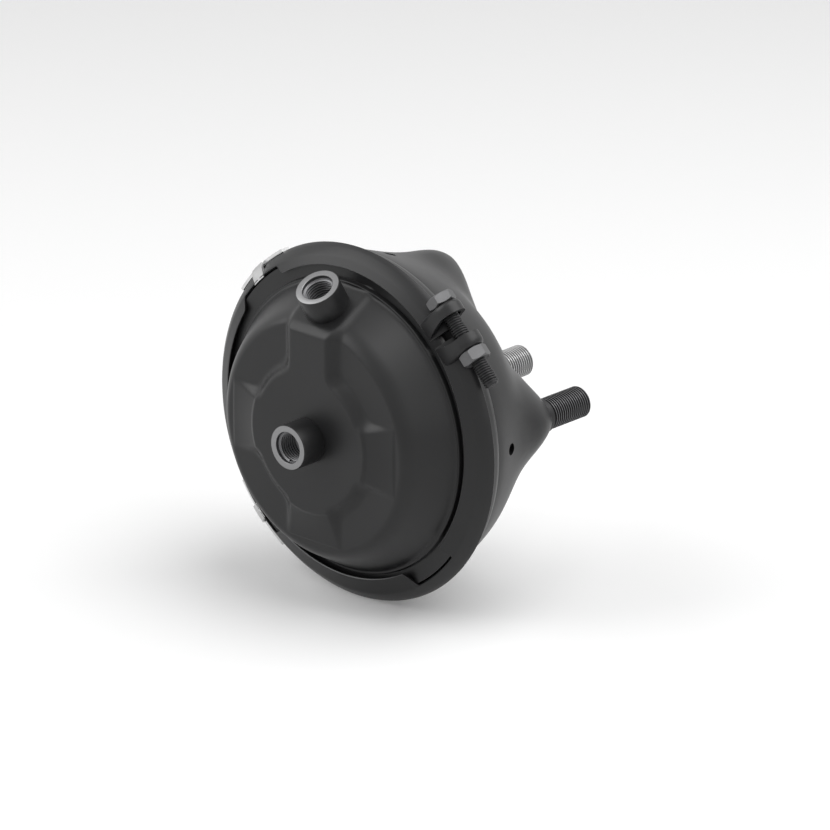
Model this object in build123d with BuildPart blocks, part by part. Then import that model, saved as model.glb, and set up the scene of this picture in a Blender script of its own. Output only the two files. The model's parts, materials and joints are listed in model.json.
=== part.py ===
from build123d import *
import math
import os

# Air brake chamber, size 24, drum-brake type.  Millimetres.
# Frame: Y is the chamber axis, +Z is up.  The origin is the centre of the rear mounting face,
# the push rod comes out towards +Y and the air ports are on the -Y side.
# r is a distance from the chamber axis and phi an angle round it, from +X towards +Z.

# ---- driving dimensions: stations along the axis, counted back from the axial port's face ----
depth = 118.0                    # axial port face to mounting face
y_port = -depth
y_disc = y_port + 14.0           # raised centre disc of the cover
y_floor = y_disc + 4.5           # pockets between the cover's arms
y_foot = y_port + 42.0           # where the cover's cone meets its flange
y_ledge = y_port + 41.6          # narrow ledge round the cone's foot
y_flange = y_port + 44.1         # front of the cover's flange, at its root
y_seat = y_port + 53.6           # front of the housing's flange
y_vent = y_port + 73.0           # ring of drain holes
y_face = 0.0                     # mounting face

# ---- sheet metal ----
sheet = 3.0                      # cover and housing wall
band = 2.6                       # clamp ring wall
fit_gap = 0.05                   # between pressed parts of one body

# ---- pressure cover ----
disc_r = 35.0
disc_foot_r = 39.0
floor_r = 60.6
shoulder_round = 6.5
cone_slope = 0.568               # radius gained per mm of depth
arm_foot_half = 16.5             # half width of an arm at the pocket floor
press_draft = 38.0               # lean of the pressed walls, degrees
arm_end_r = 53.5                 # three arms run down to the floor here
arm_top_r = 57.0                 # the upper arm turns down to the oblique port's seat here
seat_overlap = 8.0               # length of that arm's pressing beyond the others'
port_seat_r = 65.6               # middle of the oblique port's seat
corner_round = 5.0               # where the arms leave the disc
edge_round = 2.0                 # pressed edges of the disc and arms
ledge_r = 75.6                   # narrow ledge round the cone's foot
flange_r = 87.6
flange_root_r = 75.6
flange_slope = 0.38              # depth gained per mm of radius

# ---- ports, M16x1.5 ----
port_boss_r = 11.4
port_boss_height = 14.0
port_minor_r = 7.19
port_mouth_r = 8.1
port_mouth_depth = 2.0
port_tilt = 59.2                 # oblique port axis, degrees up from -Y

# ---- housing ----
rim_r = 85.9                     # wall just behind the clamp
flat_r = 38.0                    # rear face, between the lobes
lobe_tip_r = 66.0                # rear face, at a lobe
lobe_spread = 34.0               # half width of a lobe where it leaves the wall
lobe_tip_spread = 24.5
vent_r = 3.0
rod_hole_r = 21.0
plate_reach = 50.5               # reinforcement plate inside the rear wall
plate_half = 11.0

# ---- studs and push rod ----
stud_spacing = 120.65
stud_r = 8.0
stud_length = 28.0
stud_collar_r = 8.6              # set in the rear wall
stud_collar_length = 10.0
rod_r = 8.0
rod_length = 52.0                # beyond the mounting face, brake released
thread_length = 48.0
shank_r = 7.5
plate_r = 52.0
plate_sheet = 2.5
plate_dish = 2.5
seal_r = 22.8
tip_round = 1.8
seat_sheet = 1.5
y_seat_plate = y_face - 2 * sheet
spring_wire_r = 2.2
spring_front_r = 44.0
spring_rear_r = 28.5
spring_turns = 5

# ---- clamp ring ----
crest_r = 91.2
clamp_lip_r = 77.5
gap_phi = 45.3
link_phis = (135.0, 225.0)
end_gap = 1.4                    # from the middle of the gap to a segment's end, degrees
link_gap = 0.6
bolt_seat_r = 97.0
y_bolt = y_port + 51.0
lug_length = 19.5                # from the ring's lip out to the bolt
lug_root = 2.2                   # lug faces, from the middle of the gap: at the lip,
lug_near = 6.0                   # at the bolt, near side,
lug_far = 13.0                   # and far side
lug_round = 2.5
notch_r = 84.8                   # cut-outs in the front leg's lip
notch_lead = 5.0                 # length of their S-shaped ends, degrees
notch_round = 3.0
lug_r = 8.5
link_half = 12.0                 # half of a link's arc, degrees
tab_half = 2.8
link_sheet = 1.5
bolt_r = 4.0
bolt_length = 46.5
hex_across = 13.0
head_height = 5.3
nut_height = 6.5


def radial_plane(phi):
    """Plane through the axis: local x is the radius at angle phi, local y is +Y."""
    a = math.radians(phi)
    return Plane(
        origin=(0, 0, 0),
        x_dir=(math.cos(a), 0, math.sin(a)),
        z_dir=(-math.sin(a), 0, math.cos(a)),
    )


def facing_front(y):
    """Plane across the axis at y, looking along -Y; local x is +X and local y is +Z."""
    return Plane(origin=(0, y, 0), x_dir=(1, 0, 0), z_dir=(0, -1, 0))


def facing_rear(y):
    """Plane across the axis at y, looking along +Y; local x is -X and local y is +Z."""
    return Plane(origin=(0, y, 0), x_dir=(-1, 0, 0), z_dir=(0, 1, 0))


def vent_plane(phi):
    """Plane across a radius at the drain holes, outside the housing's wall."""
    radius = radial_plane(phi)
    return Plane(origin=radius.from_local_coords((88, y_vent, 0)), z_dir=radius.x_dir)


# Phi grows from +X to +Z, which is a turn about -Y.
AXIS = Axis((0, 0, 0), (0, -1, 0))


def radius_of(point):
    """Distance of a vertex from the chamber axis."""
    return math.hypot(point.X, point.Z)


def save(name, builder):
    """Label one finished piece and write it."""
    builder.part.label = name
    export_step(builder.part, f"parts/{name}.step")


os.makedirs("parts", exist_ok=True)


# Seat of the oblique port: local z is the port's axis.
seat_slope = math.tan(math.radians(90 - port_tilt))     # radius gained per mm of depth
port_seat = Plane(
    origin=(0, y_disc + (port_seat_r - arm_top_r) / seat_slope, port_seat_r),
    x_dir=(1, 0, 0),
    z_dir=(0, -math.cos(math.radians(port_tilt)), math.sin(math.radians(port_tilt))),
)


def flange_front(r):
    """Front of the cover's conical flange at radius r."""
    return y_flange + flange_slope * (r - flange_root_r)


def flange_back(r):
    """Back of the cover's flange at radius r."""
    return flange_front(r) + 2.6


# ---- pressure cover: a pressed shell with a raised disc and a cross of four arms ----
def cover_form(inset):
    """Solid form of the cover's skin, drawn in by inset."""
    back = y_foot + inset
    floor = y_floor + inset
    top = y_disc + inset
    rise = floor - top
    lean = math.atan(cone_slope)
    corner_r = floor_r - inset * (1 - math.sin(lean)) / math.cos(lean)
    half = arm_foot_half - 0.5 * inset
    seat_r = arm_top_r - 0.5 * inset
    with BuildPart() as form:
        # raised disc and cross, with leaning walls
        with BuildSketch(facing_front(floor)) as cross:
            Circle(disc_foot_r - 0.5 * inset)
            Rectangle(2 * arm_end_r + 2, 2 * half)
            with Locations((0, seat_overlap - 1)):
                Rectangle(2 * half, 2 * (arm_end_r + seat_overlap))
            fillet(cross.vertices().filter_by(lambda v: math.hypot(v.X, v.Y) < disc_foot_r + 1), corner_round)
        extrude(amount=rise, taper=press_draft)
        # three of the arms run down to the floor
        for phi in (0, 180, 270):
            with BuildSketch(radial_plane(phi)):
                with BuildLine():
                    Polyline(
                        (disc_r, top),
                        (arm_end_r, floor),
                        (arm_end_r + 20, floor + 3),
                        (arm_end_r + 20, top - 1),
                        (disc_r, top - 1),
                        close=True,
                    )
                make_face()
            extrude(amount=half + 5, both=True, mode=Mode.SUBTRACT)
        if inset < edge_round:
            raised = form.edges().filter_by(lambda e: e.bounding_box().min.Y < floor - 0.01)
            fillet(raised, edge_round - inset)
        # pocket floor and outer cone
        with BuildSketch(Plane.XY) as section:
            with BuildLine():
                Polyline(
                    (0, back),
                    (0, floor),
                    (corner_r, floor),
                    (corner_r + cone_slope * (back - floor), back),
                    close=True,
                )
            make_face()
            corner = section.vertices().group_by(Axis.Y)[0].sort_by(Axis.X)[-1]
            fillet(corner, shoulder_round - 0.5 * inset)
        revolve(axis=Axis.Y)
        # seat of the oblique port, a flat strip down the cone
        with BuildSketch(radial_plane(90)):
            with BuildLine():
                Polyline(
                    (disc_r, floor),
                    (seat_r + rise * seat_slope, floor),
                    (seat_r + (back - top) * seat_slope, back),
                    (disc_r, back),
                    close=True,
                )
            make_face()
        extrude(amount=half, both=True)
        with BuildSketch(radial_plane(90)):
            with BuildLine():
                Polyline(
                    (seat_r, top),
                    (seat_r + (back - top + 5) * seat_slope, back + 5),
                    (seat_r + 60, back + 5),
                    (seat_r + 60, top - 10),
                    (seat_r - 10 * seat_slope, top - 10),
                    close=True,
                )
            make_face()
        extrude(amount=half, both=True, mode=Mode.SUBTRACT)
    return form.part


with BuildPart() as cover:
    add(cover_form(0))
    # conical flange behind the clamp's front leg
    with BuildSketch(Plane.XY):
        with BuildLine():
            Polyline(
                (70, y_ledge),
                (ledge_r - 0.6, y_ledge),
                (ledge_r, y_ledge + 0.6),
                (ledge_r, y_flange - 0.4),
                (ledge_r + 0.4, flange_front(ledge_r + 0.4)),
                (flange_r, flange_front(flange_r)),
                (flange_r, flange_back(flange_r)),
                (flange_root_r, flange_back(flange_root_r)),
                (70, flange_back(flange_root_r)),
                close=True,
            )
        make_face()
    revolve(axis=Axis.Y)
    add(cover_form(sheet), mode=Mode.SUBTRACT)
    with BuildSketch(facing_rear(y_foot + sheet)):
        Circle(floor_r + cone_slope * (y_foot - y_floor) - sheet - 0.5)
    extrude(amount=10, mode=Mode.SUBTRACT)
    # holes under the two port bosses
    with Locations(facing_front(y_disc).location):
        Hole(port_mouth_r, depth=10)
    with Locations(port_seat.location):
        Hole(port_mouth_r, depth=10)
save("pressure_cover", cover)


# ---- port bosses, welded on the cover; each has a threaded hole with a plain mouth ----
def port_boss(plane):
    """Boss standing on the given plane, bored right through."""
    with BuildPart() as boss:
        with BuildSketch(plane):
            Circle(port_boss_r)
        extrude(amount=port_boss_height)
        rims = boss.edges().filter_by(GeomType.CIRCLE)
        chamfer(rims.sort_by(lambda e: plane.to_local_coords(e.center()).Z)[-1:], 0.4)
        with Locations(plane.offset(port_boss_height).location):
            CounterBoreHole(port_minor_r, port_mouth_r, port_mouth_depth, depth=port_boss_height)
    return boss


axial_boss = port_boss(facing_front(y_disc))
save("axial_port_boss", axial_boss)
oblique_boss = port_boss(port_seat)
save("oblique_port_boss", oblique_boss)


# ---- diaphragm: a fabric-reinforced rubber cup, its bead held between the two flanges ----
with BuildPart() as diaphragm:
    with BuildSketch(Plane.XY) as cup:
        with BuildLine():
            Polyline(
                (0, y_floor + sheet + 0.5),
                (55.0, y_floor + sheet + 0.5),
                (69.0, y_foot + 2.2),
                (70.2, flange_back(flange_root_r) + fit_gap),
                (flange_root_r, flange_back(flange_root_r) + fit_gap),
                (flange_r - 0.8, flange_back(flange_r - 0.8) + fit_gap),
                (flange_r - 0.8, y_seat - fit_gap),
                (80.5, y_seat - fit_gap),
                (76.0, y_foot + 8.6),
                (70.0, y_foot + 8.2),
                (66.2, y_foot + 3.6),
                (53.4, y_floor + sheet + 3.5),
                (0, y_floor + sheet + 3.5),
                close=True,
            )
        make_face()
        fillet(cup.vertices().filter_by(lambda v: 53 < v.X < 56), 4)
    revolve(axis=Axis.Y)
save("diaphragm", diaphragm)


# ---- housing: a bowl pressed in one hit, whose round wall swells into four lobes ----
# Sections across the axis: depth behind the ports, radius between the lobes, reach of the lobes,
# half width of a lobe, and how square its shoulders are (lower is squarer).
housing_sections = (
    (y_seat - y_port, rim_r, rim_r, lobe_spread, 1.8),
    (62.0, 84.8, 84.8, lobe_spread, 1.8),
    (70.0, 82.3, 82.3, lobe_spread, 1.8),
    (78.0, 79.2, 79.5, lobe_spread, 1.8),
    (86.0, 74.8, 77.4, lobe_spread, 1.7),
    (94.0, 68.0, 76.2, lobe_spread, 1.5),
    (102.0, 58.6, 75.4, lobe_spread, 1.4),
    (109.0, 49.0, 73.3, 0.95 * lobe_spread, 1.4),
    (114.5, 42.6, 70.0, 0.84 * lobe_spread, 1.6),
    (depth, flat_r, lobe_tip_r, lobe_tip_spread, 1.8),
)


def lobed_outline(between, reach, spread, shoulder):
    """Points of a round outline that swells into four lobes, at 0, 90, 180 and 270 degrees."""
    middle = between * math.sqrt(0.5)
    points = []
    for turn in range(4):
        a = math.radians(90 * turn)
        flank = []
        for share in (0.25, 0.5, 0.75):
            t = share * spread
            swell = math.cos(math.radians(90 * share)) ** shoulder
            flank.append((math.sqrt(between**2 - t**2) + (reach - between) * swell, t))
        quadrant = [(reach, 0)] + flank + [(middle, middle)] + [(t, s) for s, t in reversed(flank)]
        for s, t in quadrant:
            points.append((s * math.cos(a) - t * math.sin(a), s * math.sin(a) + t * math.cos(a)))
    return points


def drawn_in(sections, inset):
    """The same sections moved in from the skin, square to the wall between the lobes."""
    moved = []
    for i, (d, between, reach, spread, shoulder) in enumerate(sections):
        d0, between0, reach0 = sections[max(i - 1, 0)][:3]
        d1, between1, reach1 = sections[min(i + 1, len(sections) - 1)][:3]
        run = math.hypot(between1 - between0, d1 - d0)
        back = inset * (between0 - between1) / run
        lean = (reach0 - reach1) / (d1 - d0)
        moved.append((
            d - back,
            between - inset * (d1 - d0) / run,
            reach - inset * math.hypot(1, lean) + back * lean,
            spread - 0.5 * inset,
            shoulder,
        ))
    return moved


def housing_form(sections):
    """Solid lofted through the sections."""
    with BuildPart() as form:
        for d, between, reach, spread, shoulder in sections:
            with BuildSketch(facing_rear(y_port + d)):
                with BuildLine():
                    Spline(*lobed_outline(between, reach, spread, shoulder), periodic=True)
                make_face()
        loft()
    return form.part


with BuildPart() as housing:
    add(housing_form(housing_sections))
    # flange turned outwards under the clamp's rear leg
    with BuildSketch(Plane.XY):
        with BuildLine():
            Polyline(
                (rim_r - 1, y_seat),
                (flange_r + 0.4, y_seat),
                (flange_r + 0.4, y_seat + 0.8),
                (rim_r + 0.2, y_seat + 3.3),
                (rim_r - 1, y_seat + 4.8),
                close=True,
            )
        make_face()
    revolve(axis=Axis.Y)
    add(housing_form(drawn_in(housing_sections, sheet)), mode=Mode.SUBTRACT)
    # rod hole and stud holes
    with Locations(facing_rear(y_face).location):
        Hole(rod_hole_r, depth=10)
        with Locations((-stud_spacing / 2, 0), (stud_spacing / 2, 0)):
            Hole(stud_collar_r, depth=stud_collar_length + 1)
    # drain holes behind the clamp
    for phi in (0, 90, 180, 270):
        with BuildSketch(vent_plane(phi)):
            Circle(vent_r)
        extrude(amount=-12, mode=Mode.SUBTRACT)
save("housing", housing)


# ---- plate inside the rear wall, between the studs, that stiffens it round the rod ----
with BuildPart() as reinforcement:
    with BuildSketch(facing_rear(y_face - 2 * sheet)):
        RectangleRounded(2 * plate_reach, 2 * plate_half, 6)
        Circle(seal_r + 5)
    extrude(amount=sheet)
    fillet(reinforcement.faces().sort_by(Axis.Y)[-1].edges(), 1.5)
    with Locations(facing_rear(y_face - sheet).location):
        Hole(seal_r + fit_gap)
save("reinforcement_plate", reinforcement)


# ---- mounting studs, each with a collar set in the rear wall ----
for name, x in (("stud_left", -stud_spacing / 2), ("stud_right", stud_spacing / 2)):
    with BuildPart() as stud:
        with BuildSketch(facing_rear(y_face)):
            with Locations((-x, 0)):
                Circle(stud_collar_r)
        extrude(amount=-stud_collar_length)
        chamfer(stud.faces().sort_by(Axis.Y)[0].edges(), 1)
        with BuildSketch(facing_rear(y_face)):
            with Locations((-x, 0)):
                Circle(stud_r)
        extrude(amount=stud_length)
        fillet(stud.faces().sort_by(Axis.Y)[-1].edges(), tip_round)
    save(name, stud)


# ---- push rod, riveted to the pressure plate ----
y_plate = y_floor + sheet + 3.7                     # front of the pressure plate, brake released
y_rivet = y_plate + plate_dish                      # seat of the rivet head in the plate's dish

with BuildPart() as rod:
    with BuildSketch(Plane.XY):
        with BuildLine():
            Polyline(
                (0, y_plate + 0.4),
                (9, y_plate + 0.4),
                (9, y_rivet),
                (6, y_rivet),
                (6, y_rivet + plate_sheet),
                (rod_r + 4, y_rivet + plate_sheet),
                (rod_r + 4, y_rivet + plate_sheet + 3),
                (shank_r, y_rivet + plate_sheet + 5),
                (shank_r, y_face + rod_length - thread_length),
                (rod_r, y_face + rod_length - thread_length),
                (rod_r, y_face + rod_length),
                (0, y_face + rod_length),
                close=True,
            )
        make_face()
    revolve(axis=Axis.Y)
    fillet(rod.faces().sort_by(Axis.Y)[-1].edges(), tip_round)
save("push_rod", rod)


with BuildPart() as pressure_plate:
    with BuildSketch(Plane.XY) as section:
        with BuildLine():
            Polyline(
                (6, y_rivet),
                (14, y_rivet),
                (16.5, y_plate),
                (plate_r, y_plate),
                (plate_r, y_plate + 8),
                (plate_r - plate_sheet, y_plate + 8),
                (plate_r - plate_sheet, y_plate + plate_sheet),
                (17.5, y_plate + plate_sheet),
                (15.0, y_rivet + plate_sheet),
                (6, y_rivet + plate_sheet),
                close=True,
            )
        make_face()
        fillet(section.vertices().group_by(Axis.Y)[0].sort_by(Axis.X)[-1], 4)
    revolve(axis=Axis.Y)
save("pressure_plate", pressure_plate)


# ---- seal round the rod, and the seat that holds it and the spring's narrow end ----
with BuildPart() as dust_seal:
    with BuildSketch(Plane.XY):
        with BuildLine():
            Polyline(
                (rod_r + 0.35, y_face - 2 * sheet),
                (seal_r, y_face - 2 * sheet),
                (seal_r, y_face - sheet),
                (rod_r + 4, y_face - sheet),
                (rod_r + 2.5, y_face - 0.5),
                (rod_r + 0.35, y_face - 0.5),
                close=True,
            )
        make_face()
    revolve(axis=Axis.Y)
save("dust_seal", dust_seal)

with BuildPart() as spring_seat:
    with BuildSketch(Plane.XY):
        with BuildLine():
            Polyline(
                (rod_r + 4, y_seat_plate),
                (seal_r + 9, y_seat_plate),
                (seal_r + 9, y_seat_plate - seat_sheet),
                (seal_r + 1.5, y_seat_plate - seat_sheet),
                (seal_r, y_seat_plate - 6),
                (seal_r - seat_sheet, y_seat_plate - 6),
                (seal_r - seat_sheet, y_seat_plate - seat_sheet),
                (rod_r + 4, y_seat_plate - seat_sheet),
                close=True,
            )
        make_face()
    revolve(axis=Axis.Y)
save("spring_seat", spring_seat)


# ---- return spring: a cone, wide at the pressure plate ----
y_coil = y_plate + plate_sheet + spring_wire_r
coil_length = y_seat_plate - seat_sheet - spring_wire_r - y_coil
cone_angle = math.degrees(math.atan((spring_rear_r - spring_front_r) / coil_length))
with BuildPart() as spring:
    with BuildLine():
        coil = Helix(
            pitch=coil_length / spring_turns,
            height=coil_length,
            radius=spring_front_r,
            center=(0, y_coil, 0),
            direction=(0, 1, 0),
            cone_angle=cone_angle,
        )
    with BuildSketch(Plane(origin=coil @ 0, z_dir=coil % 0)):
        Circle(spring_wire_r)
    sweep(is_frenet=True)
save("return_spring", spring)


# ---- clamp ring: three V-shaped segments, closed by one bolt and two links ----
def leg_front(r):
    """Front of the clamp's front leg at radius r."""
    return flange_front(r) - fit_gap - band * math.hypot(1, flange_slope)


crest_inner_r = crest_r - band
y_leg_back = y_seat + 3.4
leg_end_r = rim_r + 0.25
inner_corners = [
    (clamp_lip_r + 0.9, flange_front(clamp_lip_r + 0.9) - fit_gap),
    (crest_inner_r, flange_front(crest_inner_r) - fit_gap),
    (crest_inner_r, y_leg_back - (crest_inner_r - leg_end_r) * 4 / 3),
    (leg_end_r, y_leg_back),
]


def clamp_arc(start, end):
    """One length of the V section between two angles."""
    with BuildPart() as arc:
        with BuildSketch(radial_plane(start)) as section:
            with BuildLine():
                Polyline(
                    (clamp_lip_r, leg_front(clamp_lip_r)),
                    (crest_r, leg_front(crest_r)),
                    (crest_r, y_leg_back + 1.56 - (crest_r - leg_end_r - 2.08) * 4 / 3),
                    (leg_end_r + 2.08, y_leg_back + 1.56),
                    *reversed(inner_corners),
                    close=True,
                )
            make_face()
            crest = section.vertices().filter_by(lambda v: abs(radius_of(v) - crest_r) < 0.01)
            fillet(crest, 3.2)
        revolve(axis=AXIS, revolution_arc=end - start)
    return arc.part


def clamp_lug(side):
    """Pressed ear at one end of the ring, a cup open towards the gap; side is +1 or -1."""
    gap_plane = radial_plane(gap_phi)
    mouth = gap_plane.offset(side * lug_root)
    cup = side * (lug_far - lug_root)
    bolt_seat = (bolt_seat_r, y_bolt)
    with BuildPart() as lug:
        with BuildSketch(mouth):
            with Locations(bolt_seat):
                Circle(lug_r)
            with Locations((bolt_seat_r - lug_length / 2, y_bolt)):
                Rectangle(lug_length, 2 * lug_r)
        extrude(amount=cup)
        fillet(lug.faces().sort_by(Axis((0, 0, 0), gap_plane.z_dir * side))[-1].edges(), lug_round)
        with BuildSketch(mouth):
            with Locations(bolt_seat):
                Circle(lug_r - band)
            with Locations((bolt_seat_r - lug_length / 2, y_bolt)):
                Rectangle(lug_length, 2 * (lug_r - band))
        extrude(amount=cup - side * band, mode=Mode.SUBTRACT)
        with BuildSketch(mouth):
            with Locations(bolt_seat):
                Circle(bolt_r + 0.4)
        extrude(amount=cup, mode=Mode.SUBTRACT)
        # the mouth leans back from the lip to the bolt
        lean = Plane(origin=(0, y_bolt, 0), x_dir=gap_plane.x_dir, z_dir=(0, -1, 0))
        with BuildSketch(lean):
            with BuildLine():
                Polyline(
                    (clamp_lip_r - 1, 0),
                    (clamp_lip_r + 1, side * lug_root),
                    (bolt_seat_r - lug_r + 2, side * lug_near),
                    (bolt_seat_r + lug_r + 1, side * lug_near),
                    (bolt_seat_r + lug_r + 1, 0),
                    close=True,
                )
            make_face()
        extrude(amount=lug_r + 1, both=True, mode=Mode.SUBTRACT)
        # room for the flanges inside the ring
        with BuildSketch(Plane.XY):
            with BuildLine():
                Polyline(*inner_corners, (leg_end_r, y_bolt + 15), (60, y_bolt + 15), (60, y_bolt - 15), close=True)
            make_face()
        revolve(axis=Axis.Y, mode=Mode.SUBTRACT)
    return lug.part


def at_phi(r, phi):
    """Point of a sketch across the axis, facing front."""
    return (r * math.cos(math.radians(phi)), r * math.sin(math.radians(phi)))


def lip_notch(start, end):
    """Cut-out in the front leg's lip between two angles."""
    first = at_phi(notch_r, start + notch_lead)
    middle = at_phi(notch_r, (start + end) / 2)
    last = at_phi(notch_r, end - notch_lead)
    with BuildPart() as notch:
        with BuildSketch(facing_front(y_seat - 4)) as window:
            with BuildLine():
                Line(at_phi(clamp_lip_r - 3, start), first)
                ThreePointArc(first, middle, last)
                Line(last, at_phi(clamp_lip_r - 3, end))
                Line(at_phi(clamp_lip_r - 3, end), at_phi(clamp_lip_r - 3, start))
            make_face()
            fillet(window.vertices().filter_by(lambda v: math.hypot(v.X, v.Y) > notch_r - 0.1), notch_round)
        extrude(amount=20)
    return notch.part


upper_link, lower_link = link_phis
segments = {
    "clamp_segment_upper": (gap_phi + end_gap, upper_link - link_gap, 1),
    "clamp_segment_left": (upper_link + link_gap, lower_link - link_gap, 0),
    "clamp_segment_lower": (lower_link + link_gap, 360 + gap_phi - end_gap, -1),
}
lip_notches = {
    "clamp_segment_upper": [(120.0, 140.0)],
    "clamp_segment_left": [(130.0, 151.0), (212.0, 230.0)],
    "clamp_segment_lower": [(220.0, 240.0), (299.2, 325.0)],
}
for name, (start, end, lug_side) in segments.items():
    with BuildPart() as segment:
        add(clamp_arc(start, end))
        if lug_side:
            add(clamp_lug(lug_side))
        for first, last in lip_notches[name]:
            add(lip_notch(first, last), mode=Mode.SUBTRACT)
    save(name, segment)


# ---- links that hook the segments together over the crest ----
for name, phi in (("clamp_link_upper", upper_link), ("clamp_link_lower", lower_link)):
    y_front = leg_front(crest_r)
    y_rear = y_leg_back - 3.3
    r_in = crest_r + fit_gap
    r_out = r_in + link_sheet
    with BuildPart() as link:
        with BuildSketch(radial_plane(phi - link_half)):
            with BuildLine():
                Polyline((r_in, y_front + 1.6), (r_out, y_front + 1.6), (r_out, y_rear), (r_in, y_rear), close=True)
            make_face()
        revolve(axis=AXIS, revolution_arc=2 * link_half)
        with BuildSketch(radial_plane(phi - tab_half)):
            with BuildLine():
                Polyline(
                    (r_in, y_front + 2),
                    (r_in, y_front - fit_gap),
                    (crest_r - 6, leg_front(crest_r - 6) - fit_gap),
                    (crest_r - 6, leg_front(crest_r - 6) - fit_gap - link_sheet),
                    (crest_r - 0.5, leg_front(crest_r - 0.5) - fit_gap - link_sheet),
                    (r_out, y_front + 0.3),
                    (r_out, y_front + 2),
                    close=True,
                )
            make_face()
        revolve(axis=AXIS, revolution_arc=2 * tab_half)
    save(name, link)


# ---- clamp bolt and nut, on a tangent of the ring ----
bolt_plane = radial_plane(gap_phi)
with BuildPart() as bolt:
    with BuildSketch(bolt_plane.offset(lug_far)):
        with Locations((bolt_seat_r, y_bolt)):
            RegularPolygon(hex_across / 2, 6, major_radius=False, rotation=30)
    extrude(amount=head_height)
    with BuildSketch(bolt_plane.offset(lug_far)):
        with Locations((bolt_seat_r, y_bolt)):
            Circle(bolt_r)
    extrude(amount=-bolt_length)
save("clamp_bolt", bolt)

with BuildPart() as nut:
    with BuildSketch(bolt_plane.offset(-lug_far)):
        with Locations((bolt_seat_r, y_bolt)):
            RegularPolygon(hex_across / 2, 6, major_radius=False, rotation=30)
            Circle(bolt_r + 0.02, mode=Mode.SUBTRACT)
    extrude(amount=-nut_height)
save("clamp_nut", nut)
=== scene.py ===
import json
import math

import bmesh
import bpy
import numpy as np
from mathutils import Matrix, Vector


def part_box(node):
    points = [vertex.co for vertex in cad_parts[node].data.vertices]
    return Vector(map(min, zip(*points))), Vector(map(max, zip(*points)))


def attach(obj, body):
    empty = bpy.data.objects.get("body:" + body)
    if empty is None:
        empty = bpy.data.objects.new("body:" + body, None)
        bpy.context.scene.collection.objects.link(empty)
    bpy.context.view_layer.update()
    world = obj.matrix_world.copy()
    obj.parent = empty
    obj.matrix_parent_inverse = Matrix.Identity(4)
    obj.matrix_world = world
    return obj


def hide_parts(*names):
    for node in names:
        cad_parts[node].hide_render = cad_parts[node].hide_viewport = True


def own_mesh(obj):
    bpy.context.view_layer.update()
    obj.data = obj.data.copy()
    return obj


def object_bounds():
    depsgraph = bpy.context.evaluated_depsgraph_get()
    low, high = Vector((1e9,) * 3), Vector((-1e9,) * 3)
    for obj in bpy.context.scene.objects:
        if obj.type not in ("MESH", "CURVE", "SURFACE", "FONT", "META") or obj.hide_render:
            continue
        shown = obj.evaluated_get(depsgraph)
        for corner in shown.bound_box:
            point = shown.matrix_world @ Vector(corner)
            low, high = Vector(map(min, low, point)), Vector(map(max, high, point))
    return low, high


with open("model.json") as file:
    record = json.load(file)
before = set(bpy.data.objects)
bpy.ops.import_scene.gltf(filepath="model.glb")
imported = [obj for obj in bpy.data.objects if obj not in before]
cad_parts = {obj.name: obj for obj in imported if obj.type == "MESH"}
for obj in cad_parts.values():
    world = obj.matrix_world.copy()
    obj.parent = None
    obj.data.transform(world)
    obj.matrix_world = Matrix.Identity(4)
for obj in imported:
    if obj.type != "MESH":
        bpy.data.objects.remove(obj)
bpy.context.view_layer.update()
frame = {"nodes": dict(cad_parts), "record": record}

# Air brake chamber.  Metres, in the frame of the CAD model: Y is the chamber's axis, the mounting
# face is at y = 0, the ports are on the -Y side, +Z is up.
# r is a distance from the axis and phi an angle round it in degrees, from +X towards +Z.
MM = 0.001

# ---- stations and sizes taken from the frame ----
port_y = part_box("axial_port_boss")[0].y      # face of the axial port, the foremost point
disc_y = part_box("axial_port_boss")[1].y      # face of the cover's raised disc
stud_x = (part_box("stud_right")[0].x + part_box("stud_right")[1].x) / 2
stud_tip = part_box("stud_right")[1].y
rod_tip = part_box("push_rod")[1].y

# ---- threads ----
m16_r, m16_root_r = 8.0 * MM, 7.1 * MM
fine_pitch = 1.5 * MM
bolt_r, bolt_root_r = 4.0 * MM, 3.35 * MM
bolt_pitch = 1.25 * MM


# ======================================================================================
# Finishes
# ======================================================================================
def shader(name, colour, roughness, metallic=0.0, specular=0.5):
    """A material with its Principled node set, and that material's nodes, links and shader."""
    material = bpy.data.materials.new(name)
    material.use_nodes = True
    nodes, links = material.node_tree.nodes, material.node_tree.links
    principled = nodes["Principled BSDF"]
    principled.inputs["Base Color"].default_value = (*colour, 1)
    principled.inputs["Roughness"].default_value = roughness
    principled.inputs["Metallic"].default_value = metallic
    principled.inputs["Specular IOR Level"].default_value = specular
    return material, nodes, links, principled


def object_noise(nodes, links, scale, detail=4.0):
    """Noise on Object coordinates, scale in features per metre."""
    coordinates = nodes.new("ShaderNodeTexCoord")
    noise = nodes.new("ShaderNodeTexNoise")
    noise.inputs["Scale"].default_value = scale
    noise.inputs["Detail"].default_value = detail
    links.new(coordinates.outputs["Object"], noise.inputs["Vector"])
    return noise


def vary_colour(nodes, links, principled, noise, dark, light):
    """Lets a noise drift the base colour between two colours."""
    ramp = nodes.new("ShaderNodeValToRGB")
    for stop, position, colour in zip(ramp.color_ramp.elements, (0.35, 0.65), (dark, light)):
        stop.position = position
        stop.color = (*colour, 1)
    links.new(noise.outputs["Fac"], ramp.inputs["Fac"])
    links.new(ramp.outputs["Color"], principled.inputs["Base Color"])


def vary_roughness(nodes, links, principled, noise, low, high):
    """Lets a noise drift the roughness between two values."""
    spread = nodes.new("ShaderNodeMapRange")
    spread.inputs["To Min"].default_value = low
    spread.inputs["To Max"].default_value = high
    links.new(noise.outputs["Fac"], spread.inputs["Value"])
    links.new(spread.outputs["Result"], principled.inputs["Roughness"])


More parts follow.
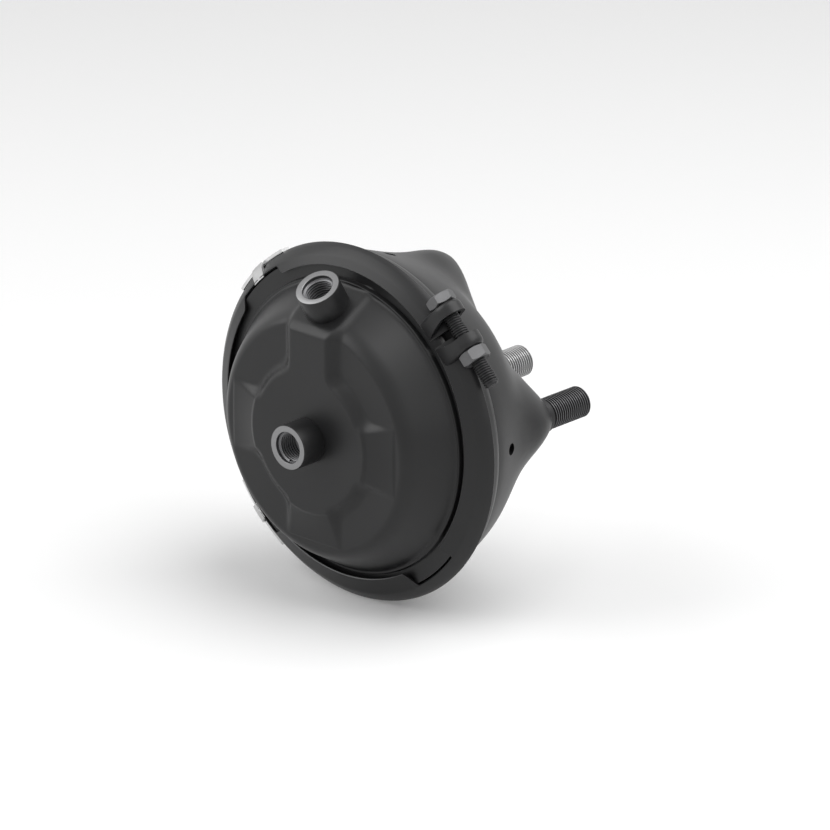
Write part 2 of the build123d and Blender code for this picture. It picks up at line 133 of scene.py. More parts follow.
def bump(nodes, links, principled, noise, height, strength):
    """Bump from a noise, height in metres."""
    node = nodes.new("ShaderNodeBump")
    node.inputs["Strength"].default_value = strength
    node.inputs["Distance"].default_value = height
    links.new(noise.outputs["Fac"], node.inputs["Height"])
    links.new(node.outputs["Normal"], principled.inputs["Normal"])


def satin_paint():
    """Dip-coated satin black over pressed steel: an even coat with a faint orange peel."""
    material, nodes, links, principled = shader("satin_black_paint", (0.011, 0.011, 0.0115),
                                                0.38, specular=0.33)
    drift = object_noise(nodes, links, 22)
    vary_colour(nodes, links, principled, drift, (0.0095, 0.0095, 0.01), (0.0125, 0.0125, 0.013))
    vary_roughness(nodes, links, principled, drift, 0.34, 0.42)
    bump(nodes, links, principled, object_noise(nodes, links, 900, 2), 0.00002, 0.35)
    return material


def machined_steel():
    """Freshly machined steel of the port mouths; on the crests of the tapped threads it is a
    painted highlight.
    """
    material, nodes, links, principled = shader("machined_steel", (0.23, 0.23, 0.233), 0.36, 1.0)
    vary_roughness(nodes, links, principled, object_noise(nodes, links, 260), 0.28, 0.42)
    bump(nodes, links, principled, object_noise(nodes, links, 1600, 2), 0.00001, 0.4)
    return material


def black_phosphate():
    """Black phosphate on rolled threads, with a dull metal sheen."""
    material, nodes, links, principled = shader("black_phosphate", (0.012, 0.012, 0.013), 0.5, 0.3)
    grain = object_noise(nodes, links, 700)
    vary_roughness(nodes, links, principled, grain, 0.38, 0.55)
    bump(nodes, links, principled, grain, 0.00001, 0.4)
    return material


def cloudy_metal(name, colour, low, high, cloudiness=0.86):
    """Bare or plated metal with a cloudy, slightly brushed sheen."""
    material, nodes, links, principled = shader(name, colour, low, 1.0)
    cloud = object_noise(nodes, links, 160)
    dark = tuple(cloudiness * c for c in colour)
    vary_colour(nodes, links, principled, cloud, dark, colour)
    vary_roughness(nodes, links, principled, cloud, low, high)
    bump(nodes, links, principled, object_noise(nodes, links, 1500, 2), 0.00001, 0.4)
    return material


def black_rubber():
    """Matte nitrile rubber."""
    material, nodes, links, principled = shader("black_rubber", (0.015, 0.015, 0.015), 0.75)
    grain = object_noise(nodes, links, 500)
    vary_roughness(nodes, links, principled, grain, 0.66, 0.85)
    bump(nodes, links, principled, grain, 0.00005, 0.5)
    return material


def lip_highlight_paint():
    """Lighter grey painted on the clamp lip's chamfer, a painted highlight of its lit edge."""
    material, nodes, links, principled = shader("painted_lip_highlight", (0.07, 0.07, 0.072), 0.36)
    drift = object_noise(nodes, links, 60)
    vary_colour(nodes, links, principled, drift, (0.05, 0.05, 0.051), (0.09, 0.09, 0.092))
    return material


PAINT = satin_paint()
# Lighter grey for the clamp lip's chamfer: a painted highlight of the lit edge.
LIP_HIGHLIGHT = lip_highlight_paint()
BARE = machined_steel()
BORE = cloudy_metal("threaded_bore", (0.16, 0.16, 0.165), 0.4, 0.55)
PHOSPHATE = black_phosphate()
# Lighter grey metal for the studs' thread crests: a painted highlight of the lit crests.
CREST_HIGHLIGHT = cloudy_metal("painted_crest_highlight", (0.16, 0.16, 0.165), 0.35, 0.5)
BRIGHT = cloudy_metal("bright_zinc", (0.62, 0.62, 0.62), 0.24, 0.38)
# Darker grey for the rod's thread core between the ridges: painted shade in the grooves.
GROOVE_SHADE = cloudy_metal("painted_groove_shade", (0.3, 0.3, 0.3), 0.4, 0.55)
GREY = cloudy_metal("grey_zinc", (0.14, 0.14, 0.143), 0.38, 0.52)
STEEL = cloudy_metal("pressed_steel", (0.36, 0.355, 0.35), 0.3, 0.5)
RUBBER = black_rubber()
SLOT_FINISH = {
    "black_paint": PAINT,
    "black_phosphate": PHOSPHATE,
    "grey_zinc": GREY,
    "bright_zinc": BRIGHT,
    "bare_steel": STEEL,
    "rubber": RUBBER,
}
for part in frame["record"]["subparts"]:
    node = frame["nodes"][part["node"]]
    node.data.materials.clear()
    node.data.materials.append(SLOT_FINISH[part["material_slot"]])


# ======================================================================================
# Making pieces
# ======================================================================================
ridge_sunk = 0.25 * MM                       # how far a thread's ridge reaches into its core
half_foot, half_crest = 0.47, 0.13           # half widths of a thread's ridge, in pitches


def piece(name, bm, materials, body, replaces=(), sharp=35):
    """Turns a bmesh into a finished piece that rides on a body."""
    bmesh.ops.remove_doubles(bm, verts=bm.verts, dist=1e-7)
    bmesh.ops.recalc_face_normals(bm, faces=bm.faces)
    mesh = bpy.data.meshes.new(name)
    bm.to_mesh(mesh)
    bm.free()
    mesh.shade_smooth()
    mesh.set_sharp_from_angle(angle=math.radians(sharp))
    for material in materials:
        mesh.materials.append(material)
    made = bpy.data.objects.new(name, mesh)
    bpy.context.scene.collection.objects.link(made)
    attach(made, body)
    if replaces:
        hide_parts(*replaces)
    return made


def along(origin, axis):
    """Matrix that lays local +Z along an axis from an origin."""
    return Matrix.Translation(origin) @ Vector(axis).to_track_quat("Z", "Y").to_matrix().to_4x4()


def turned(bm, profile, place, steps=72):
    """Spins a closed or axis-to-axis profile of (radius, height, material) round local Z."""
    verts = [bm.verts.new((r, 0, h)) for r, h, _ in profile]
    edges = [bm.edges.new(pair) for pair in zip(verts, verts[1:])]
    if profile[0][0] > 0 and profile[-1][0] > 0:
        edges.append(bm.edges.new((verts[-1], verts[0])))
    before = set(bm.faces)
    bmesh.ops.spin(bm, geom=verts + edges, axis=(0, 0, 1), cent=(0, 0, 0), angle=math.tau,
                   steps=steps, use_merge=True, use_duplicate=False)
    made = [f for f in bm.faces if f not in before]
    for face in made:
        middle = face.calc_center_median()
        spot = (math.hypot(middle.x, middle.y), middle.z)
        face.material_index = nearest_material(profile, spot)
    moved = {v for f in made for v in f.verts}
    bmesh.ops.transform(bm, matrix=place, verts=list(moved))
    return made


def nearest_material(profile, spot):
    """Material of the profile's segment that passes nearest to a point."""
    best, found = 1e9, 0
    for (r0, h0, m), (r1, h1, _) in zip(profile, profile[1:] + profile[:1]):
        length = math.hypot(r1 - r0, h1 - h0) or 1e-9
        t = ((spot[0] - r0) * (r1 - r0) + (spot[1] - h0) * (h1 - h0)) / length ** 2
        t = min(1, max(0, t))
        gap = math.hypot(r0 + t * (r1 - r0) - spot[0], h0 + t * (h1 - h0) - spot[1])
        if gap < best:
            best, found = gap, m
    return found


def ridge(bm, place, root, crest, pitch, low, high, tip_chamfer=0.0, steps=36, material=0,
          crest_material=None):
    """A helical thread ridge between two heights on local Z; crest < root cuts an inside thread."""
    turns = (high - low) / pitch - 1
    back = root - math.copysign(ridge_sunk, crest - root)
    shape = [(back, -half_foot), (crest, -half_crest), (crest, half_crest), (back, half_foot)]
    verts = [bm.verts.new((r, 0, low + (0.5 + h) * pitch)) for r, h in shape]
    face = bm.faces.new(verts)
    before = set(bm.faces)
    total = int(steps * turns)
    bmesh.ops.spin(bm, geom=[face], axis=(0, 0, 1), cent=(0, 0, 0), angle=math.tau * turns,
                   dvec=(0, 0, pitch * turns / total), steps=total,
                   use_merge=False, use_duplicate=False)
    made = [f for f in bm.faces if f not in before] + ([face] if face.is_valid else [])
    moved = {v for f in made for v in f.verts}
    for v in moved:
        limit = crest - max(0.0, v.co.z - (high - tip_chamfer))
        r = math.hypot(v.co.x, v.co.y)
        if tip_chamfer and r > limit:
            v.co.x *= limit / r
            v.co.y *= limit / r
    shallow = min(abs(crest - root) * 0.45, 0.4 * MM)
    for f in made:
        middle = f.calc_center_median()
        on_crest = abs(math.hypot(middle.x, middle.y) - crest) < shallow
        f.material_index = crest_material if crest_material is not None and on_crest else material
    bmesh.ops.transform(bm, matrix=place, verts=list(moved))


def soft_min(a, b, k):
    """Smaller of two heights, blended over k."""
    h = np.maximum(k - np.abs(a - b), 0) / k
    return np.minimum(a, b) - h * h * k / 4


def soft_max(a, b, k):
    """Larger of two heights, blended over k."""
    return -soft_min(-a, -b, k)


# ======================================================================================
# Cover: one pressed sheet whose front face is a depth over the X-Z plane
# ======================================================================================
disc_foot_r = 39.0 * MM
disc_edge_width, disc_edge_drop = 2.2 * MM, 0.5 * MM
arm_foot = 16.5 * MM                         # half the width of an arm of the cross, at its foot
arm_start_r, arm_end_r = 37.0 * MM, 53.5 * MM
arm_top_r = 57.0 * MM                        # where the top arm turns up into the port's seat
arm_side_fade = 6 * MM
floor_y = disc_y + 4.5 * MM                  # floor of the pockets between the arms
shoulder_r = 60.6 * MM                       # where that floor meets the cone
cone_rise = 1 / 0.568                        # depth gained per unit of radius
wall_rise = 1 / math.tan(math.radians(38))
port_tilt = math.radians(59.2)
seat_rise = math.tan(port_tilt)
seat_half, seat_fade = arm_foot + 1.5 * MM, 2 * MM
ledge_r, ledge_step = 75.0 * MM, 0.9 * MM
ledge_y, flange_y = port_y + 41.6 * MM, port_y + 44.1 * MM
cover_wall = 2.6 * MM
cover_steps = 360
# rings of points from the middle to the rim: from, to (mm), how many
cover_rings = ((0.5, 30, 24), (30.6, 62, 64), (62.6, 74.4, 20), (74.6, 76.2, 12), (76.8, 84.6, 14))
# heights over which neighbouring faces of the pressing run into each other
arm_blend, bowl_blend, seat_blend = 5 * MM, 7 * MM, 5 * MM
foot_blend, brim_blend, ledge_blend = 2.2 * MM, 3.2 * MM, 1.2 * MM


def cross_outline(x, z):
    """Distance outside the foot of the raised disc and its four arms, in plan."""
    away = np.hypot(x, z) - disc_foot_r
    for s, t in ((x, z), (z, x), (-x, z), (-z, x)):
        arm = np.where(s > 0, np.abs(t) - arm_foot, np.hypot(s, t))
        away = soft_min(away, arm, arm_blend)
    return away


def cross_top(x, z):
    """Depth of the disc's face, and of the three arms that fall from its edge to the pockets."""
    r = np.hypot(x, z)
    fall = (floor_y - disc_y) / (arm_end_r - arm_start_r)
    edge = np.clip((r - arm_start_r) / disc_edge_width, 0, 1)
    slope = (disc_y + disc_edge_drop * edge ** 2 * (3 - 2 * edge)
             + np.maximum(0, r - arm_start_r) * fall)
    end = np.maximum(np.maximum(np.abs(x), -z) - arm_end_r, 0) * cone_rise
    aside = np.clip((np.abs(x) - z) / arm_side_fade + 0.5, 0, 1)
    return disc_y + aside * (slope + end - disc_y)


def cover_height(x, z):
    """Depth (y) of the cover's front face at x, z."""
    r = np.hypot(x, z)
    cone = floor_y + (r - shoulder_r) * cone_rise
    bowl = soft_max(np.full_like(r, floor_y), cone, bowl_blend)
    seat = disc_y + (z - arm_top_r) * seat_rise
    top = soft_max(cross_top(x, z), seat, seat_blend)
    raised = soft_max(top, bowl + cross_outline(x, z) * wall_rise, foot_blend)
    surface = soft_min(bowl, raised, brim_blend)
    flat = np.clip((seat_half - np.abs(x)) / seat_fade, 0, 1) * (z > arm_start_r)
    surface = surface + flat * np.maximum(0, seat - surface)
    return soft_min(surface, flange_ledge(r), ledge_blend)


def flange_ledge(r):
    """Front of the flange: a narrow ledge at the cone's foot, a step, then the clamped flat."""
    step = np.clip((r - ledge_r) / ledge_step, 0, 1)
    return ledge_y + step ** 2 * (flange_y - ledge_y)


def make_cover():
    """Sweeps a fine polar sheet, presses it into shape and gives it its thickness."""
    bm = bmesh.new()
    radii = np.concatenate([np.linspace(*ring) for ring in cover_rings])
    spoke = [bm.verts.new((r * MM, 0, 0)) for r in radii]
    edges = [bm.edges.new(pair) for pair in zip(spoke, spoke[1:])]
    bmesh.ops.spin(bm, geom=spoke + edges, axis=(0, 1, 0), cent=(0, 0, 0), angle=math.tau,
                   steps=cover_steps, use_merge=True, use_duplicate=False)
    middle = [e for e in bm.edges if e.is_boundary and e.calc_length() < 0.1 * MM]
    bmesh.ops.holes_fill(bm, edges=middle)
    verts = list(bm.verts)
    xs = np.array([v.co.x for v in verts])
    zs = np.array([v.co.z for v in verts])
    for v, y in zip(verts, cover_height(xs, zs)):
        v.co.y = y
    bmesh.ops.recalc_face_normals(bm, faces=bm.faces)
    if sum(f.normal.y * f.calc_area() for f in bm.faces) > 0:
        bmesh.ops.reverse_faces(bm, faces=bm.faces)
    bmesh.ops.solidify(bm, geom=bm.faces, thickness=cover_wall)
    piece("cover_shell", bm, [PAINT], "chamber", ["pressure_cover"], sharp=40)


make_cover()


# ======================================================================================
# Port bosses: painted sides, a bare face round the mouth and a tapped hole
# ======================================================================================
boss_r, boss_top = 11.4 * MM, 14.0 * MM
mouth_r, mouth_depth = 8.0 * MM, 2.0 * MM
tap_root_r, tap_crest_r = 7.75 * MM, 6.95 * MM


def make_port(name, origin, axis, node):
    """A turned boss with a counterbored, tapped hole; local z runs out of the mouth."""
    place = along(origin, axis)
    bm = bmesh.new()
    painted, faced_and_crest_highlight, painted_shade_floor, bored = range(4)
    profile = [
        (0, 0, painted),
        (boss_r, 0, painted),
        (boss_r, boss_top - 0.35 * MM, painted),
        (boss_r - 0.1 * MM, boss_top - 0.1 * MM, painted),
        (boss_r - 0.35 * MM, boss_top, faced_and_crest_highlight),
        (mouth_r + 0.15 * MM, boss_top, faced_and_crest_highlight),
        (mouth_r, boss_top - 0.2 * MM, bored),
        (mouth_r, boss_top - mouth_depth, bored),
        (tap_root_r, boss_top - mouth_depth - 0.3 * MM, bored),
        (tap_root_r, 1.0 * MM, bored),
        # A black rubber disc closes the hole: partly the black diaphragm behind it, partly painted
        # shade of the way into the chamber.
        (tap_root_r - 0.8 * MM, 0.4 * MM, painted_shade_floor),
        (0, 0.4 * MM, painted_shade_floor),
    ]
    turned(bm, profile, place, 96)
    # The tapped thread's crests take the lighter face steel: a painted highlight of the lit crests.
    ridge(bm, place, tap_root_r, tap_crest_r, fine_pitch, 0.6 * MM,
          boss_top - mouth_depth + 0.2 * MM, material=bored, crest_material=faced_and_crest_highlight)
    piece(name, bm, [PAINT, BARE, RUBBER, BORE], "chamber", [node], sharp=30)


seat_r = 65.6 * MM                           # where the oblique port stands on its seat
seat_y = disc_y + (seat_r - arm_top_r) * seat_rise
oblique_axis = (0, -math.cos(port_tilt), math.sin(port_tilt))
make_port("axial_port", (0, disc_y, 0), (0, -1, 0), "axial_port_boss")
make_port("oblique_port", (0, seat_y, seat_r), oblique_axis, "oblique_port_boss")


# ======================================================================================
# Studs and push rod
# ======================================================================================
collar_r, collar_front = 8.6 * MM, -10 * MM
neck_end = 0.8 * MM
tip_gap = 0.3 * MM                           # how far a thread stops short of the tip
shank_r, thread_length = 7.5 * MM, 48 * MM


def make_stud(name, x, node):
    """Mounting stud: collar set in the rear wall, short neck, rolled thread, rounded tip."""
    place = along((x, 0, 0), (0, 1, 0))
    bm = bmesh.new()
    # The thread's crests take the lighter grey metal, a painted highlight of the lit crests.
    plain, crest_highlight = range(2)
    profile = [
        (0, collar_front, plain),
        (collar_r - 1 * MM, collar_front, plain),
        (collar_r, collar_front + 1 * MM, plain),
        (collar_r, 0, plain),
        (m16_r, 0.1 * MM, plain),
        (m16_r, neck_end, plain),
        (m16_root_r, neck_end + 0.9 * MM, plain),
        (m16_root_r, stud_tip - 1.2 * MM, plain),
        (m16_root_r - 0.35 * MM, stud_tip - 0.4 * MM, plain),
        (m16_root_r - 1.1 * MM, stud_tip, plain),
        (0, stud_tip, plain),
    ]
    turned(bm, profile, place)
    ridge(bm, place, m16_root_r, m16_r, fine_pitch, neck_end, stud_tip - tip_gap, 1.1 * MM,
          crest_material=crest_highlight)
    piece(name, bm, [PHOSPHATE, CREST_HIGHLIGHT], "chamber", [node], sharp=30)


make_stud("stud_right_threaded", stud_x, "stud_right")
make_stud("stud_left_threaded", -stud_x, "stud_left")


def make_rod():
    """Push rod: riveted foot, plain shank, rolled thread, rounded tip."""
    place = along((0, 0, 0), (0, 1, 0))
    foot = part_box("push_rod")[0].y
    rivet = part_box("pressure_plate")[0].y + 2.5 * MM
    plate_back = rivet + 2.5 * MM
    thread_start = rod_tip - thread_length
    foot_r, rivet_r, flange_r = 9 * MM, 6 * MM, 12 * MM
    bm = bmesh.new()
    # The thread's core between the ridges takes the darker grey: painted shade in the grooves.
    bright, root = range(2)
    profile = [
        (0, foot, bright),
        (foot_r - 0.6 * MM, foot, bright),
        (foot_r, foot + 0.8 * MM, bright),
        (foot_r, rivet, bright),
        (rivet_r, rivet, bright),
        (rivet_r, plate_back, bright),
        (flange_r, plate_back, bright),
        (flange_r, plate_back + 3 * MM, bright),
        (shank_r, plate_back + 5 * MM, bright),
        (shank_r, thread_start, bright),
        (m16_root_r, thread_start + 0.5 * MM, root),
        (m16_root_r, rod_tip - 1.4 * MM, bright),
        (m16_root_r - 0.4 * MM, rod_tip - 0.4 * MM, bright),
        (m16_root_r - 1.1 * MM, rod_tip, bright),
        (0, rod_tip, bright),
    ]
    turned(bm, profile, place)
    ridge(bm, place, m16_root_r, m16_r, fine_pitch, thread_start, rod_tip - tip_gap, 1.2 * MM,
          material=root, crest_material=bright)
    piece("push_rod_threaded", bm, [BRIGHT, GROOVE_SHADE], "rod", ["push_rod"], sharp=30)


make_rod()


def make_spring():
    """Carries the coil over as a piece of its own that rides on the chamber."""
    bm = bmesh.new()
    bm.from_mesh(frame["nodes"]["return_spring"].data)
    slot = next(part["material_slot"] for part in frame["record"]["subparts"]
                if part["node"] == "return_spring")
    spring = piece("return_spring_coil", bm, [SLOT_FINISH[slot]], "chamber",
                   ["return_spring"])
    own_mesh(spring)


make_spring()


# ======================================================================================
# Clamp ring: three rolled V sections with two pressed ears, a bolt and a nut
# ======================================================================================
gap_phi, half_gap = 44.3, 1.4                # the bolted gap's middle and half width, degrees
lip_r, crest_r, notch_r = 79.4 * MM, 91.2 * MM, 86.0 * MM
lip_lift = 2.2 * MM
lip_y = port_y + 40.3 * MM
leg_slope = 0.5                              # depth the front leg gains per unit of radius
leg_thick, crest_thick = 1.7 * MM, 2.6 * MM
crest_back_y = port_y + 50.2 * MM
rear_y, rear_lip_r = port_y + 58.4 * MM, 86.15 * MM
bolt_seat_r, bolt_y = 95.3 * MM, port_y + 48.2 * MM
band_step = 0.5                              # degrees between sections of a band


def turn_phi(phi):
    """Matrix that turns a shape drawn at +X round the axis to angle phi."""
    return Matrix.Rotation(-math.radians(phi), 4, "Y")


def lip_radius(phi):
    """Radius of the front lip, which sits a little higher than the cover's axis."""
    return lip_r + lip_lift * math.sin(math.radians(phi))


def leg_front(r):
    """Depth of the front leg's outer face."""
    return lip_y + leg_slope * (r - lip_r)


def band_profile(lip):
    """Closed section of the ring, (radius, depth), with its front lip at a given radius."""
    foot = crest_r - 5.2 * MM
    foot_y = leg_front(foot)
    points = [(lip, leg_front(lip) + 0.42 * MM), (lip + 0.4 * MM, leg_front(lip + 0.4 * MM))]
    for share in (0.2, 0.45, 0.7, 0.9, 1.0):
        r = lip + share * (foot - lip)
        points.append((r, leg_front(r)))
    points += [
        (foot + 0.7 * MM, foot_y + 0.5 * MM),
        (foot + 2.2 * MM, foot_y + 2.0 * MM),
        (foot + 3.6 * MM, foot_y + 3.5 * MM),
        (foot + 4.6 * MM, foot_y + 4.8 * MM),
        (crest_r - 0.1 * MM, foot_y + 6.0 * MM),
        (crest_r, crest_back_y - 0.35 * MM),
        (crest_r - 0.12 * MM, crest_back_y - 0.08 * MM),
        (crest_r - 0.45 * MM, crest_back_y + 0.2 * MM),
        (crest_r - 2.0 * MM, crest_back_y + 1.3 * MM),
        (crest_r - 2.45 * MM, crest_back_y + 2.2 * MM),
        (crest_r - 2.7 * MM, crest_back_y + 4.4 * MM),
        (rear_lip_r + 0.55 * MM, rear_y - 0.4 * MM),
        (rear_lip_r + 0.2 * MM, rear_y),
        (rear_lip_r, rear_y - 0.3 * MM),
        (rear_lip_r, rear_y - 1.3 * MM),
        (crest_r - 3.0 * MM, crest_back_y + 4.2 * MM),
        (crest_r - crest_thick, crest_back_y - 0.4 * MM),
        (foot + 1.0 * MM, foot_y + 3.2 * MM),
    ]
    for share in (1.0, 0.6, 0.15):
        r = lip + share * (foot - 0.6 * MM - lip)
        points.append((r, leg_front(r) + leg_thick))
    points.append((lip + 0.05 * MM, leg_front(lip) + leg_thick - 0.2 * MM))
    return points


def lip_at(phi, notches):
    """Radius of the front leg's lip, which steps back in S curves at the notches."""
    away = 0.0
    for first, last, first_run, last_run in notches:
        rise = min(1, max(0, (phi - first) / first_run))
        fall = min(1, max(0, (last - phi) / last_run))
        share = min(rise, fall)
        away = max(away, share * share * (3 - 2 * share))
    lip = lip_radius(phi)
    return lip + away * (notch_r - lip)


def make_band(name, node, start, end, notches):
    """Rolls one length of the ring and cuts its lip back at the notches."""
    bm = bmesh.new()
    lip_highlight, lip_chamfer = 1, {0, 1}       # the chamfer joins the section's first two points
    drawn = band_profile(lip_r)
    verts = [bm.verts.new((r, y, 0)) for r, y in drawn]
    bmesh.ops.rotate(bm, verts=verts, cent=(0, 0, 0), matrix=turn_phi(start).to_3x3())
    face = bm.faces.new(verts)
    bmesh.ops.spin(bm, geom=[face], axis=(0, -1, 0), cent=(0, 0, 0),
                   angle=math.radians(end - start), steps=int((end - start) / band_step),
                   use_merge=False, use_duplicate=False)
    sections, place_in_section = {}, {}
    for v in bm.verts:
        r = math.hypot(v.co.x, v.co.z)
        index = min(range(len(drawn)),
                    key=lambda i: math.hypot(drawn[i][0] - r, drawn[i][1] - v.co.y))
        phi = math.degrees(math.atan2(v.co.z, v.co.x)) % 360
        phi = round(phi + (360 if phi < start - 1 else 0), 2)
        if phi not in sections:
            sections[phi] = band_profile(lip_at(phi, notches))
        place_in_section[v] = index
        new_r, new_y = sections[phi][index]
        v.co = (v.co.x * new_r / r, new_y, v.co.z * new_r / r)
    # The lip's chamfer faces take the lighter grey: a painted highlight of the lit edge.
    for face in bm.faces:
        if {place_in_section[v] for v in face.verts} == lip_chamfer:
            face.material_index = lip_highlight
    piece(name, bm, [PAINT, LIP_HIGHLIGHT], "chamber", [node], sharp=38)


ear_r, ear_wall = 7.9 * MM, 2.4 * MM
# along the bolt: the ear's edge at its root and at its outer end, its flat face, that face's round
ear_root, ear_near, ear_far, ear_round = 2.2 * MM, 6.0 * MM, 13.0 * MM, 2.6 * MM
ear_spread = 14 * MM                         # radius over which its edge slants out


def ear_outline():
    """Open outline of an ear, (radius, depth): front wall, round end over the bolt, rear wall."""
    points = [(lip_radius(gap_phi) + 0.2 * MM, leg_front(lip_radius(gap_phi)) + 0.1 * MM),
              (notch_r - 0.5 * MM, bolt_y - ear_r + 0.1 * MM),
              (bolt_seat_r - 6 * MM, bolt_y - ear_r)]
    for i in range(13):
        a = math.radians(-90 + 15 * i)
        points.append((bolt_seat_r + ear_r * math.cos(a), bolt_y + ear_r * math.sin(a)))
    points.append((bolt_seat_r - 7 * MM, bolt_y + ear_r))
    points.append((crest_r - 3.2 * MM, bolt_y + ear_r - 0.2 * MM))
    return points


def make_ear(name, side):
    """Pressed cup over the bolt, open towards the gap; side is +1 or -1."""
    bm = bmesh.new()
    outline = ear_outline()
    # each loop's place along the bolt and how far it is drawn in; None is the slanting edge
    stations = [(None, 0), (9.0 * MM, 0), (ear_far - ear_round, 0),
                (ear_far - 0.62 * ear_round, 0.08 * ear_round),
                (ear_far - 0.29 * ear_round, 0.29 * ear_round),
                (ear_far - 0.08 * ear_round, 0.62 * ear_round), (ear_far, ear_round)]
    loops = []
    for station, drawn_in in stations:
        loop = []
        for r, y in outline:
            share = min(1, max(0, (r - lip_r) / ear_spread))
            near = ear_root + (ear_near - ear_root) * share
            depth = near if station is None else station
            swing = math.hypot(max(r - bolt_seat_r, 0), y - bolt_y)
            pull = drawn_in / swing if swing else 0
            loop.append(bm.verts.new((r - pull * max(r - bolt_seat_r, 0),
                                      y - pull * (y - bolt_y), side * depth)))
        loops.append(loop)
    for first, second in zip(loops, loops[1:]):
        for i in range(len(outline) - 1):
            bm.faces.new((first[i], first[i + 1], second[i + 1], second[i]))
    bm.faces.new(loops[-1])
    bmesh.ops.recalc_face_normals(bm, faces=bm.faces)
    foremost = min(bm.faces, key=lambda f: f.calc_center_median().y)
    if foremost.normal.y > 0:
        bmesh.ops.reverse_faces(bm, faces=bm.faces)
    bmesh.ops.solidify(bm, geom=bm.faces, thickness=ear_wall)
    bmesh.ops.transform(bm, matrix=turn_phi(gap_phi), verts=bm.verts)
    piece(name, bm, [PAINT], "chamber", sharp=40)


# notches: first and last angle, and the angles over which each end runs in
upper_notch = (121.6, 148.0, 3.6, 3.2)
lower_notch = (211.5, 237.5, 3.2, 3.6)
side_notch = (300.2, 323.8, 3.0, 0.6)
make_band("clamp_band_upper", "clamp_segment_upper", gap_phi + half_gap, 134.4, [upper_notch])
make_band("clamp_band_left", "clamp_segment_left", 135.6, 224.4, [upper_notch, lower_notch])
make_band("clamp_band_lower", "clamp_segment_lower", 225.6, 360 + gap_phi - half_gap,
          [lower_notch, side_notch])
make_ear("clamp_ear_upper", 1)
make_ear("clamp_ear_lower", -1)


# ---- bolt and nut ----
hex_across, head_height, nut_height, bolt_end = 13.0 * MM, 5.3 * MM, 6.5 * MM, -33.5 * MM
hex_turned, hex_edge = 0.97, 0.3 * MM        # the end face's share of the flats, and its edge
hex_corner_fall = 0.55                       # how fast the turned chamfer falls to the corners


def hexagon(bm, place, low, high, material, hole=0.0):
    """Hexagon with turned chamfers at both ends; hole opens it for a thread."""
    flat = hex_across / 2
    outline = [(hole, low), (flat * hex_turned, low), (flat, low + hex_edge),
               (flat, high - hex_edge), (flat * hex_turned, high), (hole, high)]
    made = turned(bm, [(*spot, material) for spot in outline], Matrix.Identity(4))
    verts = {v for f in made for v in f.verts}
    for v in verts:
        r = math.hypot(v.co.x, v.co.y)
        if r > flat * (1 + hex_turned) / 2:
            a = math.atan2(v.co.y, v.co.x) % math.radians(60) - math.radians(30)
            corner = flat / math.cos(a)
            cut = (corner - flat) * hex_corner_fall
            v.co.x *= corner / r
            v.co.y *= corner / r
            v.co.z += cut if v.co.z < (low + high) / 2 else -cut
    bmesh.ops.transform(bm, matrix=place, verts=list(verts))


def bolt_place():
    """Matrix whose local z runs along the bolt, from the nut's side to the head's side."""
    return turn_phi(gap_phi) @ Matrix.Translation((bolt_seat_r, bolt_y, 0))


def make_bolt():
    """Hexagon bolt with a black thread and a dull zinc head."""
    bm = bmesh.new()
    place = bolt_place()
    plated, black = range(2)
    hexagon(bm, place, ear_far, ear_far + head_height, plated)
    shank = [
        (0, bolt_end),
        (bolt_root_r - 0.8 * MM, bolt_end),
        (bolt_root_r, bolt_end + 0.8 * MM),
        (bolt_root_r, 11 * MM),
        (bolt_r, 11.5 * MM),
        (bolt_r, ear_far + 0.5 * MM),
        (0, ear_far + 0.5 * MM),
    ]
    turned(bm, [(*spot, black) for spot in shank], place, 48)
    ridge(bm, place @ Matrix.Scale(-1, 4, (0, 0, 1)), bolt_root_r, bolt_r, bolt_pitch, -11.3 * MM,
          -bolt_end - 0.2 * MM, 0.6 * MM, 32, black)
    piece("clamp_bolt_threaded", bm, [GREY, PHOSPHATE], "chamber", ["clamp_bolt"],
          sharp=30)


def make_nut():
    """Hexagon nut of the clamp."""
    bm = bmesh.new()
    hexagon(bm, bolt_place(), -ear_far - nut_height, -ear_far, 0, bolt_root_r)
    piece("clamp_nut_chamfered", bm, [GREY], "chamber", ["clamp_nut"], sharp=30)


make_bolt()
make_nut()


# ======================================================================================
# Camera, lights and floor
# ======================================================================================
azimuth, elevation = math.radians(43.0), math.radians(20.54)
right = Vector((math.cos(azimuth), math.sin(azimuth), 0))
back = Vector((math.sin(azimuth) * math.cos(elevation), -math.cos(azimuth) * math.cos(elevation),
               math.sin(elevation)))
up = back.cross(right)
camera_distance, camera_right, camera_up = 5.85, 62.08 * MM, 16.02 * MM
port_centre = Vector((0, port_y, 0))
camera_data = bpy.data.cameras.new("camera")
camera_data.lens = 520.5
camera_data.clip_end = 30
camera = bpy.data.objects.new("camera", camera_data)
camera.matrix_world = Matrix.Translation(
    port_centre + back * camera_distance + right * camera_right + up * camera_up
) @ Matrix((right, up, back)).transposed().to_4x4()
bpy.context.scene.collection.objects.link(camera)
bpy.context.scene.camera = camera


lamp_target = Vector((0, -0.05, 0))
fill_strength, floor_glow = 0.2, 0.14
floor_half_width, floor_gap = 6, 0.2 * MM


def area_light(name, position, size, power):
    """A square softbox aimed at the chamber."""
    data = bpy.data.lights.new(name, "AREA")
    data.size = size
    data.energy = power
    lamp = bpy.data.objects.new(name, data)
    turn = (lamp_target - Vector(position)).to_track_quat("-Z", "Y")
    lamp.matrix_world = Matrix.Translation(position) @ turn.to_matrix().to_4x4()
    bpy.context.scene.collection.objects.link(lamp)


area_light("softbox_top", (0.5, 0.3, 1.3), 1.5, 20)
area_light("softbox_left", (-0.9, -1.0, 0.9), 1.4, 15)
area_light("softbox_right", (1.4, -0.1, 0.7), 1.2, 2.5)

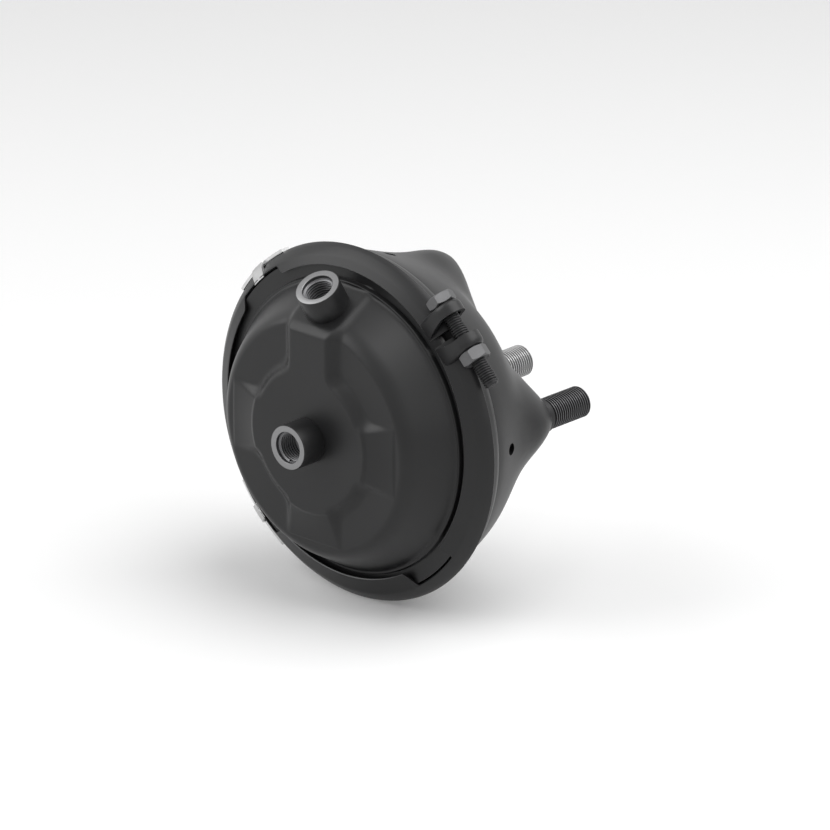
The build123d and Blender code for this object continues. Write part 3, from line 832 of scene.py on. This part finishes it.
scene = bpy.context.scene
scene.view_settings.view_transform = "Standard"
world = bpy.data.worlds.new("studio")
scene.world = world
world.use_nodes = True
backdrop = world.node_tree.nodes["Background"]
backdrop.inputs["Color"].default_value = (0.9, 0.9, 0.9, 1)
backdrop.inputs["Strength"].default_value = fill_strength
white = world.node_tree.nodes.new("ShaderNodeBackground")
white.inputs["Color"].default_value = (1, 1, 1, 1)
choice = world.node_tree.nodes.new("ShaderNodeMixShader")


def seen_directly(tree):
    """1 for camera, glossy and transmission rays, 0 for the rays that light a surface."""
    path = tree.nodes.new("ShaderNodeLightPath")
    seen = path.outputs["Is Camera Ray"]
    for ray in ("Is Glossy Ray", "Is Transmission Ray"):
        either = tree.nodes.new("ShaderNodeMath")
        either.operation = "MAXIMUM"
        tree.links.new(seen, either.inputs[0])
        tree.links.new(path.outputs[ray], either.inputs[1])
        seen = either.outputs["Value"]
    return seen


world_links = world.node_tree.links
world_links.new(seen_directly(world.node_tree), choice.inputs["Fac"])
world_links.new(backdrop.outputs["Background"], choice.inputs[1])
world_links.new(white.outputs["Background"], choice.inputs[2])
world_links.new(choice.outputs["Shader"], world.node_tree.nodes["World Output"].inputs["Surface"])

floor_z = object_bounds()[0].z
bm = bmesh.new()
bmesh.ops.create_grid(bm, x_segments=1, y_segments=1, size=floor_half_width)
bmesh.ops.translate(bm, verts=bm.verts, vec=(0, 0, floor_z - floor_gap))
floor_mesh = bpy.data.meshes.new("floor")
bm.to_mesh(floor_mesh)
bm.free()
floor = bpy.data.objects.new("floor", floor_mesh)
scene.collection.objects.link(floor)
floor_finish, floor_nodes, floor_links, floor_shader = shader("floor_paint", (0.86,) * 3, 0.8)
glow = floor_nodes.new("ShaderNodeEmission")
scaled = floor_nodes.new("ShaderNodeMath")
scaled.operation = "MULTIPLY"
scaled.inputs[1].default_value = floor_glow
both = floor_nodes.new("ShaderNodeAddShader")
floor_links.new(seen_directly(floor_finish.node_tree), scaled.inputs[0])
floor_links.new(scaled.outputs["Value"], glow.inputs["Strength"])
floor_links.new(floor_shader.outputs["BSDF"], both.inputs[0])
floor_links.new(glow.outputs["Emission"], both.inputs[1])
floor_links.new(both.outputs["Shader"], floor_nodes["Material Output"].inputs["Surface"])
floor_mesh.materials.append(floor_finish)
